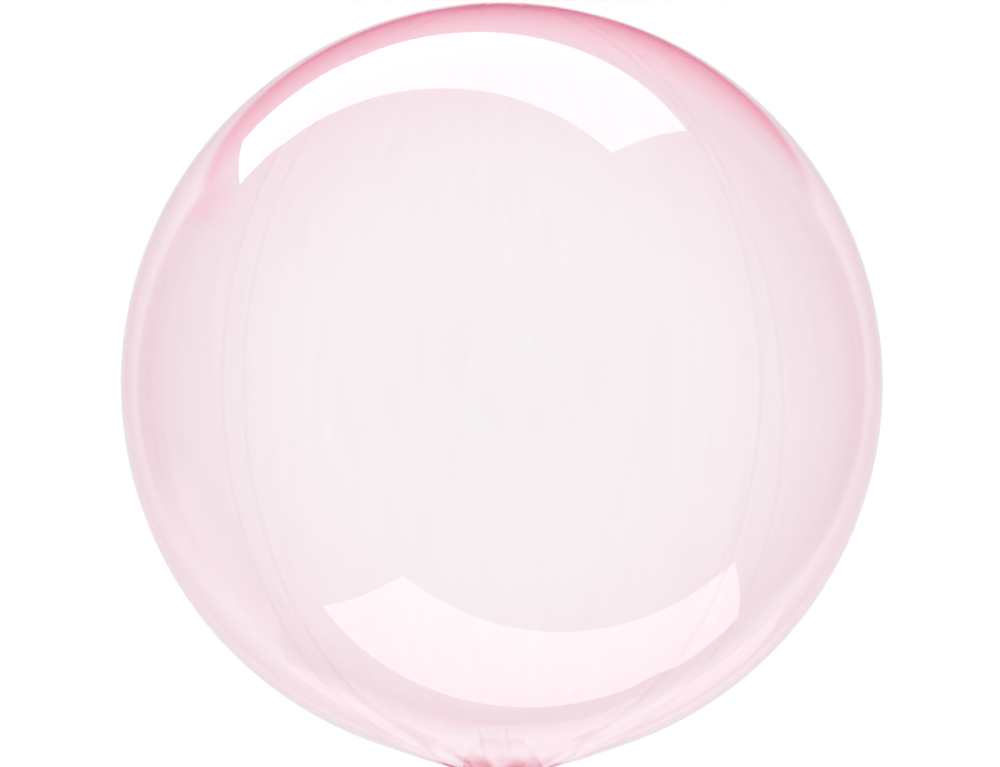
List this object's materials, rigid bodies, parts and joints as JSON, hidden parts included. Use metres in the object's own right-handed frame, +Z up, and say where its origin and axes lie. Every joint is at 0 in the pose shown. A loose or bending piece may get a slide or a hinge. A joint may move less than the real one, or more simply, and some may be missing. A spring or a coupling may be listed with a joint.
{
  "type": "bubble balloon",
  "caption": "Clear round bubble balloon of welded see-through film, with meridian weld seams and a flat inflation tail, lying on its side.",
  "frame": {"origin": "on the surface that the balloon lies on, under the middle of its length and width", "axes": "+Y along the balloon's long axis from the tail to the crown, +Z up through the middle of the upper gore"},
  "size_m": [0.508, 0.603, 0.5058],
  "materials": {
    "clear_film": "clear, faintly pink film, glossy",
    "seam_weld": "doubled film, pinker than the single film, glossy",
    "valve_film": "clear two-ply valve sleeve, satin"
  },
  "bodies": {
    "root": {"bubble_envelope": "clear_film"}
  },
  "joints": []
}
